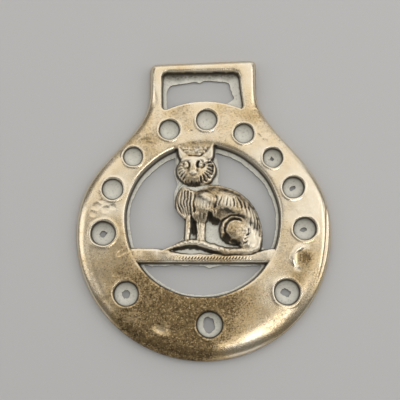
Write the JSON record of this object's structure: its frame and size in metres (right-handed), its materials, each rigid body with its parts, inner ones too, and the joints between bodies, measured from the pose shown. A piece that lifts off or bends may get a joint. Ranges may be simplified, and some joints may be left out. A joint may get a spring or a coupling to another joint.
{
  "type": "horse brass",
  "caption": "Flat round cast brass harness ornament with a strap slot, a pierced window holding a seated cat in relief, and a rim with sunk dimples.",
  "frame": {"origin": "on the flat back, below the middle of the bounding box", "axes": "+Y from the round plate towards the strap hanger, +Z out of the face, the cat facing up"},
  "size_m": [0.0762, 0.0914, 0.0053],
  "materials": {
    "old_brass": "worn, unevenly polished old brass with brown tarnish and pale residue in the recesses"
  },
  "bodies": {
    "root": {"horse_brass": "old_brass"}
  },
  "joints": []
}
